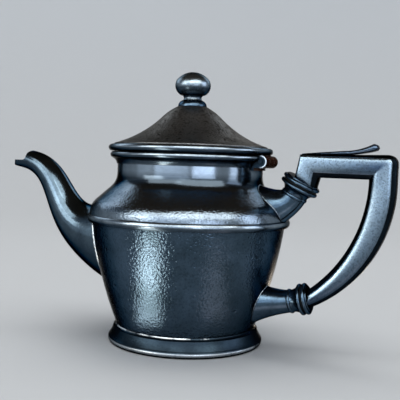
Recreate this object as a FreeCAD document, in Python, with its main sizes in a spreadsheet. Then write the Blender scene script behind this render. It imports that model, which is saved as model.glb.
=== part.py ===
import FreeCAD, Part
import math
import os
import re
import Sketcher

# Silver teapot with a hinged lid, in millimetres.
# The origin is the centre of the foot's underside. Z is up, the handle is on +X and the spout on -X.

doc = FreeCAD.newDocument("teapot")

# Driving dimensions

SIZES = {
    # Pot
    "wall": 1.5,
    "floor_thickness": 1.6,
    "foot_height": 9.2,
    "foot_stand": 4.0,
    "foot_toe": 1.0,
    "foot_band": 3.0,
    "foot_bead": 3.4,
    "foot_bead_curve": 2.15,
    "foot_bead_inset": 0.7,
    "foot_curve": 14.0,
    "foot_seat": 3.2,
    "foot_step": 1.4,
    "foot_step_curve": 2.1,
    "base_radius": 36.2,
    "body_curve": 207.0,
    "brim_step": 1.3,
    "belt_height": 63.3,
    "belt_stand": 1.1,
    "belt_tall": 3.8,
    "belt_bulge": 0.8,
    "brim_radius": 51.4,
    "shoulder_rise": 1.9,
    "shoulder_curve": 10.5,
    "shoulder_slope": 42.0,
    "neck_curve": 9.1,
    "neck_radius": 37.7,
    "neck_rise": 34.1,
    "mouth_stand": 3.8,
    "mouth_bead": 3.2,
    "mouth_bulge": 1.2,
    "cove_tall": 3.0,
    "cove_edge": 0.4,
    "cove_curve": 4.0,
    # Spout
    "spout_wall": 1.3,
    "spout_root_sink": 13.4,
    "spout_root_drop": 13.1,
    "spout_root_ease": 18.5,
    "spout_tip_reach": 111.0,
    "spout_tip_drop": 5.1,
    "spout_tip_ease": 30.8,
    "spout_root_wide": 16.5,
    "spout_wide_flare": 10.5,
    "spout_throat_wide": 8.9,
    "spout_tip_wide": 4.1,
    "spout_root_oval": 11.4,
    "spout_tip_oval": 0.4,
    "lip_setback": 9.6,
    "lip_drop": 1.1,
    "lip_cut_round": 2.2,
    "lip_cut_slant": 80.0,
    "lip_upper_height": 2.2,
    "lip_upper_round": 3.0,
    "lip_upper_slope": 10.0,
    "lip_plan_margin": 0.6,
    "strainer_rise": 1.8,
    "strainer_pitch": 5.6,
    "strainer_hole": 1.6,
    # Lid
    "lid_gap": 0.3,
    "lid_wall": 1.2,
    "rim_stand": 1.0,
    "rim_tall": 3.4,
    "rim_bulge": 1.3,
    "collar_gap": 0.9,
    "collar_wall": 1.2,
    "collar_drop": 5.5,
    "dome_inset": 2.9,
    "dome_edge": 0.6,
    "dome_land": 2.0,
    "dome_hollow": 57.0,
    "cone_radius": 15.0,
    "cone_rise": 15.3,
    "cone_slope": 45.0,
    "crown_curve": 29.0,
    "crown_radius": 7.6,
    "crown_rise": 20.5,
    # Finial
    "stud_radius": 1.5,
    "finial_base_radius": 7.4,
    "finial_base_edge": 0.4,
    "finial_base_tall": 3.3,
    "finial_base_top": 5.0,
    "finial_base_curve": 3.2,
    "knob_foot": 5.0,
    "knob_neck_curve": 1.6,
    "knob_neck_tall": 2.7,
    "knob_underside": 6.3,
    "knob_side_curve": 5.5,
    "knob_shoulder": 8.2,
    "knob_shoulder_rise": 10.7,
    "knob_tall": 14.5,
    "stud_in_knob": 6.0,
    "washer_radius": 4.5,
    "washer_thickness": 1.0,
    "nut_circumradius": 3.2,
    "nut_tall": 2.4,
    "stud_tail": 1.0,
    "thread_gap": 0.05,
    # Hinge
    "hinge_clearance": 0.4,
    "hinge_length": 19.0,
    "knuckle_radius": 3.1,
    "lid_knuckle": 6.4,
    "knuckle_gap": 0.3,
    "pin_radius": 1.2,
    "pin_fit": 0.05,
    "pin_head": 0.4,
    "saddle_thickness": 1.3,
    "saddle_drop": 4.4,
    "lid_web": 2.6,
    # Handle and its sockets
    "upper_stand": 4.85,
    "upper_rise": 15.15,
    "upper_tilt": 62.0,
    "upper_root_sink": 11.4,
    "upper_root_rise": 7.2,
    "upper_root_tilt": 11.0,
    "upper_root_pull": 9.0,
    "upper_end_pull": 4.0,
    "upper_root_wide": 10.5,
    "upper_waist_wide": 7.9,
    "upper_end": 6.2,
    "upper_bead": 6.7,
    "upper_ring": 9.65,
    "upper_cove": 3.0,
    "upper_cove_curve": 4.2,
    "upper_seat": 8.2,
    "upper_handle_outer": 3.8,
    "upper_handle_inner": 7.4,
    "lower_stand": 20.45,
    "lower_rise": 17.05,
    "lower_tilt": 14.0,
    "lower_root_sink": 4.2,
    "lower_root_rise": 13.6,
    "lower_root_tilt": 12.0,
    "lower_root_pull": 8.0,
    "lower_end_pull": 5.0,
    "lower_root_wide": 10.5,
    "lower_waist_wide": 7.8,
    "lower_end": 5.5,
    "lower_bead": 6.1,
    "lower_ring": 7.8,
    "lower_cove": 3.8,
    "lower_cove_curve": 5.3,
    "lower_seat": 6.4,
    "lower_handle_half": 4.2,
    "horn_root_oval": 2.2,
    "horn_end_oval": 0.1,
    "bead_half": 0.9,
    "ring_thickness": 1.7,
    "ring_bulge": 0.75,
    "insulator_thickness": 0.8,
    "insulator_inset": 0.5,
    "ferrule_step": 0.6,
    "handle_pin_radius": 2.0,
    "handle_pin_depth": 7.0,
    "handle_rise": 20.05,
    "handle_nose": 2.9,
    "handle_reach": 104.8,
    "handle_straight": 14.8,
    "handle_back": 12.3,
    "handle_slope": 0.9,
    "handle_corner_margin": 0.4,
    "handle_bar": 10.9,
    "throat_step": 12.0,
    "handle_thickness": 12.0,
    "handle_bevel": 2.6,
    "thumb_margin": 0.4,
    "thumb_flight": 14.8,
    "thumb_tip_inset": 9.8,
    "thumb_tip_rise": 2.2,
    "thumb_curl": 1.75,
    "thumb_roll": 37.0,
    "thumb_back": 1.8,
    "thumb_edge": 0.5,
    "thumb_curve": 30.0,
    "thumb_under_curve": 60.0,
    "thumb_half_width": 5.0,
    "thumb_point": 1.6,
    "thumb_point_length": 14.0,
}

# Sizes and places that follow from those above
LINKED = {
    "foot_radius": "base_radius + foot_stand",
    "waist_radius": "brim_radius - brim_step",
    "belt_radius": "brim_radius + belt_stand",
    "mouth_height": "belt_height + neck_rise",
    "mouth_radius": "neck_radius + mouth_stand",
    "spout_root_reach": "brim_radius - spout_root_sink",
    "spout_root_height": "belt_height - spout_root_drop",
    "spout_tip_height": "mouth_height - spout_tip_drop",
    "spout_root_pull": "spout_tip_reach - spout_root_reach - spout_root_ease",
    "spout_tip_pull": "spout_tip_reach - spout_root_reach - spout_tip_ease",
    "lip_cut_reach": "spout_tip_reach - lip_setback",
    "lip_cut_height": "spout_tip_height - lip_drop",
    "lip_plan_round": "spout_tip_wide + lip_plan_margin",
    "strainer_height": "spout_root_height + strainer_rise",
    "rim_radius": "mouth_radius + rim_stand",
    "dome_radius": "rim_radius - dome_inset",
    "hinge_reach": "neck_radius + hinge_clearance + knuckle_radius",
    "hinge_height": "mouth_height - knuckle_radius",
    "upper_reach": "brim_radius + upper_stand",
    "upper_height": "belt_height + upper_rise",
    "upper_root_reach": "brim_radius - upper_root_sink",
    "upper_root_height": "belt_height + upper_root_rise",
    "lower_reach": "base_radius + lower_stand",
    "lower_height": "foot_height + lower_rise",
    "lower_root_reach": "base_radius - lower_root_sink",
    "lower_root_height": "foot_height + lower_root_rise",
    "handle_top": "upper_height + handle_rise",
    "handle_end": "upper_reach + handle_nose",
    "handle_corner": "handle_bevel + handle_corner_margin",
    "handle_inner_reach": "handle_reach - handle_back",
    "handle_throat": "upper_reach + throat_step",
    "thumb_start": "handle_end + thumb_margin",
    "thumb_tip": "handle_reach - thumb_tip_inset",
    "thumb_lift": "thumb_tip - thumb_flight",
}

sheet = doc.addObject("Spreadsheet::Sheet", "dims")
cells = {**SIZES, **{alias: "=" + formula for alias, formula in LINKED.items()}}
for row, (alias, cell) in enumerate(cells.items(), 1):
    sheet.set("A%d" % row, alias)
    sheet.set("B%d" % row, str(cell))
    sheet.setAlias("B%d" % row, alias)
doc.recompute()


# Helpers: every size is an expression of the sheet's aliases

def bound(text):
    """The expression with each alias pointed at the sheet."""
    return re.sub(r"[a-z_]+", lambda word: "dims." + word[0] if word[0] in cells else word[0], str(text))


def value(text):
    """The expression's present value."""
    return float(sheet.evalExpression(bound(text)))


def bind(thing, **expressions):
    """Bind properties of an object to expressions."""
    for name, text in expressions.items():
        thing.setExpression(name, bound(text))
    return thing


def place(thing, x, y, z, turn="0"):
    """Put an object at x, y, z, turned about Y by an angle in degrees."""
    text = "placement(vector(%s; %s; %s); rotation(vector(0; 1; 0); %s))" % (x, y, z, turn)
    thing.setExpression("Placement", bound(text))
    return thing


def outline(body, name, corners, plane="XZ_Plane"):
    """A closed sketch through the corners.

    A corner (x, y) is reached by a straight line, and a corner (x, y, radius, turn) by an arc that
    turns to the left (1) or to the right (-1).
    """
    sketch = body.newObject("Sketcher::SketchObject", name)
    support = [item for item in body.Origin.OriginFeatures if item.Role == plane][0]
    sketch.AttachmentSupport = [(support, "")]
    sketch.MapMode = "FlatFace"
    spots = [FreeCAD.Vector(value(corner[0]), value(corner[1]), 0) for corner in corners]
    ends = []
    for index, corner in enumerate(corners):
        start = spots[index - 1]
        stop = spots[index]
        if len(corner) == 2:
            sketch.addGeometry(Part.LineSegment(start, stop))
            ends.append((1, 2))
            continue
        radius = value(corner[2])
        turn = corner[3]
        chord = stop - start
        rise = math.sqrt(max(radius ** 2 - chord.Length ** 2 / 4, 0)) * turn / chord.Length
        centre = (start + stop) / 2 + FreeCAD.Vector(-chord.y, chord.x, 0) * rise
        first, last = (start, stop) if turn > 0 else (stop, start)
        angles = [math.atan2(spot.y - centre.y, spot.x - centre.x) for spot in (first, last)]
        circle = Part.Circle(centre, FreeCAD.Vector(0, 0, 1), radius)
        sketch.addGeometry(Part.ArcOfCircle(circle, angles[0], angles[1]))
        ends.append((1, 2) if turn > 0 else (2, 1))
    for index, corner in enumerate(corners):
        end = ends[index][1]
        after = (index + 1) % len(corners)
        sketch.addConstraint(Sketcher.Constraint("Coincident", index, end, after, ends[after][0]))
        across = Sketcher.Constraint("DistanceX", -1, 1, index, end, spots[index].x)
        upward = Sketcher.Constraint("DistanceY", -1, 1, index, end, spots[index].y)
        sketch.setExpression("Constraints[%d]" % sketch.addConstraint(across), bound(corner[0]))
        sketch.setExpression("Constraints[%d]" % sketch.addConstraint(upward), bound(corner[1]))
        if len(corner) == 4:
            bend = Sketcher.Constraint("Radius", index, value(corner[2]))
            sketch.setExpression("Constraints[%d]" % sketch.addConstraint(bend), bound(corner[2]))
    return sketch


def turned(label, corners):
    """A body turned about its own Z axis from an outline in X and Z."""
    body = doc.addObject("PartDesign::Body", label)
    sketch = outline(body, label + "_outline", corners)
    feature = body.newObject("PartDesign::Revolution", label + "_turning")
    feature.Profile = sketch
    feature.ReferenceAxis = (sketch, ["V_Axis"])
    feature.Angle = 360
    return body


def padded(label, corners, thickness, plane="XZ_Plane"):
    """A body padded to both sides of an origin plane."""
    body = doc.addObject("PartDesign::Body", label)
    feature = body.newObject("PartDesign::Pad", label + "_pad")
    feature.Profile = outline(body, label + "_outline", corners, plane)
    feature.Midplane = True
    bind(feature, Length=thickness)
    return body


def rod(label, radius, length, x, y, z, turn="0"):
    """A cylinder from x, y, z along Z, turned about Y."""
    return place(bind(doc.addObject("Part::Cylinder", label), Radius=radius, Height=length), x, y, z, turn)


def cross_rod(label, radius, length):
    """A cylinder along Y, centred on the hinge's axis."""
    thing = bind(doc.addObject("Part::Cylinder", label), Radius=radius, Height=length)
    spot = "vector(hinge_reach; (%s) / 2; hinge_height)" % length
    thing.setExpression("Placement", bound("placement(%s; rotation(vector(1; 0; 0); 90))" % spot))
    return thing


def block(label, x, low, length, wide, tall):
    """A box from x and low, centred across Y."""
    thing = bind(doc.addObject("Part::Box", label), Length=length, Width=wide, Height=tall)
    return place(thing, x, "-(%s) / 2" % wide, low)


def joined(label, pieces):
    """Several pieces made into one."""
    thing = doc.addObject("Part::MultiFuse", label)
    thing.Shapes = pieces
    return thing


def cut(label, base, tools):
    """The base with the tools taken out of it."""
    thing = doc.addObject("Part::Cut", label)
    thing.Base = base
    thing.Tool = tools[0] if len(tools) == 1 else joined(label + "_tools", tools)
    return thing


def blend(weights, controls):
    """A weighted sum of expressions."""
    return " + ".join("%.6f * (%s)" % pair for pair in zip(weights, controls))


def bent_tube(label, x, z, wide, root_oval, end_oval, fade, sections):
    """A solid lofted through ellipses along a cubic curve in X and Z.

    x, z and wide each hold the curve's four control values: the places of the centre line and the
    section's half width. The half height is more than that by root_oval at the root and by end_oval at
    the end, and a higher fade makes it fall off sooner.
    """
    rings = []
    for index in range(sections):
        u = index / (sections - 1)
        v = 1 - u
        weights = (v ** 3, 3 * u * v ** 2, 3 * u ** 2 * v, u ** 3)
        slopes = (-v ** 2, v ** 2 - 2 * u * v, 2 * u * v - u ** 2, u ** 2)
        ring = doc.addObject("Part::Ellipse", "%s_section_%d" % (label, index))
        half_width = blend(weights, wide)
        oval = blend((v ** fade, 1 - v ** fade), (root_oval, end_oval))
        bind(ring, MajorRadius="%s + %s" % (half_width, oval), MinorRadius=half_width)
        heading = "atan2(%s; %s)" % (blend(slopes, x), blend(slopes, z))
        rings.append(place(ring, blend(weights, x), "0", blend(weights, z), heading))
    loft = doc.addObject("Part::Loft", label)
    loft.Sections = rings
    loft.Solid = True
    return loft


nodes = []


def keep(thing, label):
    """Name a finished piece."""
    thing.Label = label
    nodes.append(thing)
    return thing


# Pot: a lower cup and a shouldered upper half, joined rim to rim under the belt

def lower_outline(inset, floor):
    return [
        ("0", "foot_height + %s" % floor),
        ("base_radius - %s" % inset, "foot_height + %s" % floor),
        ("waist_radius - %s" % inset, "belt_height", "body_curve - %s" % inset, 1),
        ("0", "belt_height"),
    ]


def upper_outline(inset):
    brim = "brim_radius - %s" % inset
    neck = "neck_radius - %s" % inset
    bend = "(shoulder_curve - %s)" % inset
    flare = "(neck_curve + %s)" % inset
    start = "belt_height + shoulder_rise"
    bend_x = "%s - %s * (1 - sin(shoulder_slope))" % (brim, bend)
    bend_z = "%s + %s * cos(shoulder_slope)" % (start, bend)
    flare_x = "%s + %s * (1 - sin(shoulder_slope))" % (neck, flare)
    flare_z = "%s + (%s - (%s)) * tan(shoulder_slope)" % (bend_z, bend_x, flare_x)
    return [
        ("0", "belt_height"),
        (brim, "belt_height"),
        (brim, start),
        (bend_x, bend_z, bend, 1),
        (flare_x, flare_z),
        (neck, "%s + %s * cos(shoulder_slope)" % (flare_z, flare), flare, -1),
        (neck, "mouth_height"),
        ("0", "mouth_height"),
    ]


lower_full = turned("lower_full", lower_outline("0", "0"))
lower_hollow = turned("lower_hollow", lower_outline("wall", "floor_thickness"))
upper_full = turned("upper_full", upper_outline("0"))
upper_hollow = turned("upper_hollow", upper_outline("wall"))

strainer = []
for row in range(-2, 2):
    spread = (-1, 0, 1) if row % 2 == 0 else (-1.5, -0.5, 0.5, 1.5)
    for step in spread:
        label = "strainer_drill_%d" % len(strainer)
        side = "%.1f * strainer_pitch" % step
        rise = "strainer_height + %d * strainer_pitch" % row
        drill = rod(label, "strainer_hole", "waist_radius", "-spout_root_reach / 2", side, rise, "-90")
        strainer.append(drill)

keep(cut("lower_body", lower_full, [lower_hollow] + strainer), "lower_body")
keep(cut("upper_body", upper_full, [upper_hollow]), "upper_body")

foot_outline = [
    ("base_radius - foot_seat", "foot_height"),
    ("foot_radius - foot_toe - foot_band", "0"),
    ("foot_radius - foot_toe", "0"),
    ("foot_radius - foot_bead_inset", "foot_bead", "foot_bead_curve", 1),
    ("base_radius + foot_step", "foot_height - foot_step", "foot_curve", -1),
    ("base_radius", "foot_height", "foot_step_curve", -1),
]
keep(turned("foot_ring", foot_outline), "foot_ring")

belt_low = "belt_height - belt_tall / 2"
belt_top = "belt_height + belt_tall / 2"
belt_edge = "belt_radius - belt_bulge"
belt_full = turned("belt_full", [
    ("waist_radius", belt_low),
    (belt_edge, belt_low),
    (belt_edge, belt_top, "(belt_tall ^ 2 / 4 + belt_bulge ^ 2) / (2 * belt_bulge)", 1),
    ("brim_radius", belt_top),
    ("brim_radius", "belt_height"),
    ("waist_radius", "belt_height"),
])

mouth_edge = "mouth_radius - mouth_bulge"
mouth_low = "mouth_height - mouth_bead"
mouth_full = turned("mouth_full", [
    ("neck_radius", "%s - cove_tall" % mouth_low),
    ("neck_radius + cove_edge", "%s - cove_tall" % mouth_low),
    (mouth_edge, mouth_low, "cove_curve", -1),
    (mouth_edge, "mouth_height", "(mouth_bead ^ 2 / 4 + mouth_bulge ^ 2) / (2 * mouth_bulge)", 1),
    ("neck_radius", "mouth_height"),
])
notch_wide = "hinge_length + 2 * knuckle_gap"
hinge_notch = block("hinge_notch", "0", "0", "2 * hinge_reach", notch_wide, "2 * mouth_height")
keep(cut("mouth_moulding", mouth_full, [hinge_notch]), "mouth_moulding")


# Spout: a hollow gooseneck trimmed to the pot, with the upper lip cut back over a long lower lip

def spout_tube(label, inset):
    x = ("-spout_root_reach", "-spout_root_reach - spout_root_pull",
         "-spout_tip_reach + spout_tip_pull", "-spout_tip_reach")
    z = ("spout_root_height", "spout_root_height", "spout_tip_height", "spout_tip_height")
    wide = ("spout_root_wide", "spout_root_wide - spout_wide_flare", "spout_throat_wide", "spout_tip_wide")
    wide = ["%s - %s" % (size, inset) for size in wide]
    return bent_tube(label, x, z, wide, "spout_root_oval", "spout_tip_oval", 6, 13)


spout_full = spout_tube("spout_full", "0")
spout_bore = spout_tube("spout_bore", "spout_wall")
lip_top = "spout_tip_height + spout_root_wide"
lip_far = "-spout_tip_reach - spout_root_wide"
lip_corner = "lip_cut_round * tan(lip_cut_slant / 2)"
lip_upper_z = "spout_tip_height + lip_upper_height"
lip_upper_x = "-lip_cut_reach + (%s - lip_cut_height) / tan(lip_cut_slant)" % lip_upper_z
lip_bend_x = "%s + lip_upper_round * (sin(lip_cut_slant) - sin(lip_upper_slope))" % lip_upper_x
lip_bend_z = "%s + lip_upper_round * (cos(lip_upper_slope) - cos(lip_cut_slant))" % lip_upper_z
lip_cut = padded("lip_cut", [
    (lip_bend_x, lip_top),
    (lip_far, lip_top),
    (lip_far, "lip_cut_height"),
    ("-lip_cut_reach - %s" % lip_corner, "lip_cut_height"),
    ("-lip_cut_reach + %s * cos(lip_cut_slant)" % lip_corner,
     "lip_cut_height + %s * sin(lip_cut_slant)" % lip_corner, "lip_cut_round", 1),
    (lip_upper_x, lip_upper_z),
    (lip_bend_x, lip_bend_z, "lip_upper_round", -1),
], "spout_root_wide * 2")
lip_plan_start = "-spout_tip_reach + lip_plan_round"
lip_plan = padded("lip_plan", [
    (lip_plan_start, "-lip_plan_round"),
    ("-spout_tip_reach", "0", "lip_plan_round", -1),
    (lip_plan_start, "lip_plan_round", "lip_plan_round", -1),
    (lip_plan_start, "spout_root_wide"),
    (lip_far, "spout_root_wide"),
    (lip_far, "-spout_root_wide"),
    (lip_plan_start, "-spout_root_wide"),
], "spout_tip_height * 4", "XY_Plane")
keep(cut("spout", spout_full, [spout_bore, lower_full, upper_full, lip_cut, lip_plan]), "spout")
keep(cut("belt_moulding", belt_full, [spout_full]), "belt_moulding")


# Handle sockets: a flared horn on the pot, a bead, a cove and a ring, then insulator and ferrule

def along(side, distance, across="0"):
    """A point on a socket's axis, set off to its upper side."""
    x = "%s_reach + (%s) * cos(%s_tilt) - (%s) * sin(%s_tilt)" % (side, distance, side, across, side)
    z = "%s_height + (%s) * sin(%s_tilt) + (%s) * cos(%s_tilt)" % (side, distance, side, across, side)
    return x, z


ring_radius = "(ring_thickness ^ 2 / 4 + ring_bulge ^ 2) / (2 * ring_bulge)"
under_belt = rod("under_belt", "belt_radius", belt_top, "0", "0", "0")
pot_side = {"upper": [upper_full, under_belt], "lower": [lower_full]}
handle_seat = {}
for side in ("upper", "lower"):
    end = side + "_end"
    ring_edge = "%s_ring - ring_bulge" % side
    bead_curve = "(bead_half ^ 2 + ({0}_bead - {0}_end) ^ 2) / (2 * ({0}_bead - {0}_end))".format(side)
    ring_low = "bead_half + %s_cove" % side
    ring_top = "%s + ring_thickness" % ring_low
    washer_top = "%s + insulator_thickness" % ring_top
    ferrule_top = "%s + ring_thickness" % washer_top
    handle_seat[side] = "%s + ferrule_step" % ferrule_top
    tilt = "90 - %s_tilt" % side
    spot = along(side, "0")

    pull_x = "{0}_root_reach + {0}_root_pull * cos({0}_root_tilt)".format(side)
    pull_z = "{0}_root_height + {0}_root_pull * sin({0}_root_tilt)".format(side)
    back_x, back_z = along(side, "-%s_end_pull" % side)
    horn = bent_tube(
        side + "_horn",
        (side + "_root_reach", pull_x, back_x, spot[0]),
        (side + "_root_height", pull_z, back_z, spot[1]),
        (side + "_root_wide", side + "_waist_wide", end, end),
        "horn_root_oval", "horn_end_oval", 2, 7)
    collar = turned(side + "_collar", [
        ("0", "-bead_half"),
        (end, "-bead_half"),
        (end, "bead_half", bead_curve, 1),
        (ring_edge, ring_low, "%s_cove_curve" % side, -1),
        (ring_edge, ring_top, ring_radius, 1),
        ("0", ring_top),
    ])
    place(collar, spot[0], "0", spot[1], tilt)
    casting = joined(side + "_casting", [horn, collar])
    bore_spot = along(side, "-bead_half")
    bore = rod(side + "_bore", "handle_pin_radius", handle_seat[side], bore_spot[0], "0", bore_spot[1], tilt)
    keep(cut(side + "_socket", casting, pot_side[side] + [bore]), side + "_socket")

    insulator = turned(side + "_insulator", [
        ("handle_pin_radius", ring_top),
        ("%s - insulator_inset" % ring_edge, ring_top),
        ("%s - insulator_inset" % ring_edge, washer_top),
        ("handle_pin_radius", washer_top),
    ])
    keep(place(insulator, spot[0], "0", spot[1], tilt), side + "_insulator")

    ferrule = turned(side + "_ferrule", [
        ("handle_pin_radius", washer_top),
        (ring_edge, washer_top),
        (ring_edge, ferrule_top, ring_radius, 1),
        ("%s_seat" % side, ferrule_top),
        ("%s_seat" % side, handle_seat[side]),
        ("handle_pin_radius", handle_seat[side]),
    ])
    keep(place(ferrule, spot[0], "0", spot[1], tilt), side + "_ferrule")

    pin_length = "%s + bead_half + handle_pin_depth" % handle_seat[side]
    pin = rod(side + "_handle_pin", "handle_pin_radius", pin_length, bore_spot[0], "0", bore_spot[1], tilt)
    keep(pin, side + "_handle_pin")


# Handle: a bevelled bar with square upper corners, bowed down to the lower ferrule

upper_out = along("upper", handle_seat["upper"], "upper_handle_outer")
upper_in = along("upper", handle_seat["upper"], "-upper_handle_inner")
lower_in = along("lower", handle_seat["lower"], "lower_handle_half")
lower_out = along("lower", handle_seat["lower"], "-lower_handle_half")
bar_under = "handle_top - handle_bar"
bow_start = "handle_top + handle_slope - handle_straight"


def bar_top(x):
    """The height of the bar's upper face, which rises a little from the pot to the outer corner."""
    return "handle_top + handle_slope * (%s - handle_end) / (handle_reach - handle_end)" % x


def bow_radius(x, z, top_x, top_z):
    """The radius of an arc that leaves the top point straight down and ends at x, z."""
    return "((%s - (%s)) ^ 2 + (%s - (%s)) ^ 2) / (2 * (%s - (%s)))" % (top_x, x, top_z, z, top_x, x)


handle = padded("handle_bar", [
    lower_out,
    ("handle_reach", bow_start, bow_radius(lower_out[0], lower_out[1], "handle_reach", bow_start), 1),
    ("handle_reach", "handle_top + handle_slope - handle_corner"),
    ("handle_reach - handle_corner", bar_top("(handle_reach - handle_corner)"), "handle_corner", 1),
    ("handle_end", "handle_top"),
    upper_out,
    upper_in,
    ("handle_throat", bar_under),
    ("handle_inner_reach", bar_under),
    lower_in + (bow_radius(lower_in[0], lower_in[1], "handle_inner_reach", bar_under), -1),
], "handle_thickness")
doc.recompute()


def is_bevelled(edge):
    """Edges round the bar's two broad faces, apart from the ends that meet the ferrules."""
    half = value("handle_thickness") / 2
    seats = [along(side, handle_seat[side]) for side in ("upper", "lower")]
    middle = edge.CenterOfMass
    on_face = abs(abs(middle.y) - half) < 1e-4
    on_seat = any(math.hypot(middle.x - value(x), middle.z - value(z)) < 0.5 for x, z in seats)
    return on_face and not on_seat


bar = handle.Tip
bevel = handle.newObject("PartDesign::Chamfer", "handle_bevels")
bevelled = ["Edge%d" % (index + 1) for index, edge in enumerate(bar.Shape.Edges) if is_bevelled(edge)]
bevel.Base = (bar, bevelled)
bind(bevel, Size="handle_bevel")
handle_drills = []
for side in ("upper", "lower"):
    x, z = along(side, "0")
    length = "%s + handle_pin_depth" % handle_seat[side]
    tilt = "90 - %s_tilt" % side
    handle_drills.append(rod(side + "_handle_drill", "handle_pin_radius", length, x, "0", z, tilt))
keep(cut("handle", handle, handle_drills), "handle")

# Thumb rest: a leaf lying on the bar that lifts off towards its rolled tip

curl_back = "thumb_tip - thumb_curl * sin(thumb_roll)"
lift_top = bar_top("thumb_lift")
start_top = bar_top("thumb_start")
tip_low = "%s + thumb_tip_rise" % lift_top
leaf = padded("thumb_leaf", [
    ("thumb_lift", lift_top),
    ("thumb_tip", tip_low, "thumb_under_curve", 1),
    (curl_back, "%s + thumb_curl * (1 + cos(thumb_roll))" % tip_low, "thumb_curl", 1),
    ("thumb_lift", "%s + thumb_back" % lift_top, "thumb_curve", -1),
    ("thumb_start", "%s + thumb_edge" % start_top),
    ("thumb_start", start_top),
], "thumb_half_width * 2")
plan = padded("thumb_plan", [
    ("thumb_start", "-thumb_point"),
    ("thumb_start + thumb_point_length", "-thumb_half_width"),
    ("thumb_tip - thumb_half_width / 2", "-thumb_half_width"),
    ("thumb_tip + thumb_curl", "0", "thumb_half_width", 1),
    ("thumb_tip - thumb_half_width / 2", "thumb_half_width", "thumb_half_width", 1),
    ("thumb_start + thumb_point_length", "thumb_half_width"),
    ("thumb_start", "thumb_point"),
], "handle_top * 4", "XY_Plane")
thumb = doc.addObject("Part::Common", "thumb_rest")
thumb.Base = leaf
thumb.Tool = plan
keep(thumb, "thumb_rest")


# Hinge: outer knuckles on a saddle round the neck, a middle knuckle under the lid, and the pin

neck_core = rod("neck_core", "neck_radius", "mouth_height * 2", "0", "0", "0")
saddle_low = "hinge_height - saddle_drop"
saddle_ring = rod("saddle_ring", "neck_radius + saddle_thickness", "saddle_drop", "0", "0", saddle_low)
saddle_side = block("saddle_side", "0", saddle_low, "hinge_reach", "hinge_length", "saddle_drop")
saddle = doc.addObject("Part::Common", "saddle")
saddle.Base = saddle_ring
saddle.Tool = saddle_side
barrel = cross_rod("barrel", "knuckle_radius", "hinge_length")
web_low = "hinge_height - knuckle_radius"
body_web = block("body_web", "0", web_low, "hinge_reach", "hinge_length", "knuckle_radius")
middle_gap = cross_rod("middle_gap", "knuckle_radius + knuckle_gap", "lid_knuckle + 2 * knuckle_gap")
pin_seat = cross_rod("pin_seat", "pin_radius", "hinge_length * 2")
body_leaf = joined("body_leaf", [saddle, barrel, body_web])
keep(cut("hinge_body_leaf", body_leaf, [neck_core, middle_gap, pin_seat]), "hinge_body_leaf")
keep(cross_rod("hinge_pin", "pin_radius", "hinge_length + 2 * pin_head"), "hinge_pin")

lid_seat = "mouth_height + lid_gap"
lid_knuckle = cross_rod("lid_knuckle", "knuckle_radius", "lid_knuckle")
lid_web = block("lid_web", "hinge_reach - lid_web / 2", "hinge_height", "lid_web", "lid_knuckle",
                "%s - hinge_height" % lid_seat)
pin_bore = cross_rod("pin_bore", "pin_radius + pin_fit", "hinge_length * 2")
keep(cut("hinge_lid_leaf", joined("lid_leaf", [lid_knuckle, lid_web]), [pin_bore]), "hinge_lid_leaf")


# Lid: a conical dome on a moulded rim, with a collar inside the neck

collar_radius = "neck_radius - wall - collar_gap"
rim_top = "%s + rim_tall" % lid_seat
rim_edge = "rim_radius - rim_bulge"
keep(turned("lid_rim_moulding", [
    (collar_radius, lid_seat),
    (rim_edge, lid_seat),
    (rim_edge, rim_top, "(rim_tall ^ 2 / 4 + rim_bulge ^ 2) / (2 * rim_bulge)", 1),
    (collar_radius, rim_top),
]), "lid_rim_moulding")
keep(turned("lid_collar", [
    ("%s - collar_wall" % collar_radius, "%s - collar_drop" % lid_seat),
    (collar_radius, "%s - collar_drop" % lid_seat),
    (collar_radius, rim_top),
    ("%s - collar_wall" % collar_radius, rim_top),
]), "lid_collar")

crown_top = "%s + crown_rise" % rim_top
crown_under = "%s - lid_wall" % crown_top
cone_top = "%s + cone_rise" % rim_top
inner_cone = "cone_radius - lid_wall * sin(cone_slope)"
inner_cone_top = "%s - lid_wall * cos(cone_slope)" % cone_top
keep(turned("lid_dome", [
    ("stud_radius", crown_under),
    ("crown_radius - lid_wall / 2", crown_under),
    (inner_cone, inner_cone_top, "crown_curve - lid_wall", -1),
    ("dome_radius - dome_land", rim_top, "dome_hollow + lid_wall", 1),
    ("dome_radius", rim_top),
    ("dome_radius", "%s + dome_edge" % rim_top),
    ("cone_radius", cone_top, "dome_hollow", -1),
    ("crown_radius", crown_top, "crown_curve", 1),
    ("stud_radius", crown_top),
]), "lid_dome")


# Finial: a knob on a flared base, held by a stud, washer and nut inside the dome

base_top = "%s + finial_base_tall" % crown_top
keep(turned("finial_base", [
    ("stud_radius", crown_top),
    ("finial_base_radius", crown_top),
    ("finial_base_radius", "%s + finial_base_edge" % crown_top),
    ("finial_base_top", base_top, "finial_base_curve", 1),
    ("stud_radius", base_top),
]), "finial_base")

stud_top = "%s + stud_in_knob" % base_top
knob_top = "%s + knob_tall" % base_top
knob_rise = "(knob_tall - knob_shoulder_rise)"
keep(turned("finial_knob", [
    ("0", stud_top),
    ("stud_radius", stud_top),
    ("stud_radius", base_top),
    ("knob_foot", base_top),
    ("knob_underside", "%s + knob_neck_tall" % base_top, "knob_neck_curve", -1),
    ("knob_shoulder", "%s + knob_shoulder_rise" % base_top, "knob_side_curve", 1),
    ("0", knob_top, "(knob_shoulder ^ 2 + %s ^ 2) / (2 * %s)" % (knob_rise, knob_rise), 1),
]), "finial_knob")

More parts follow.
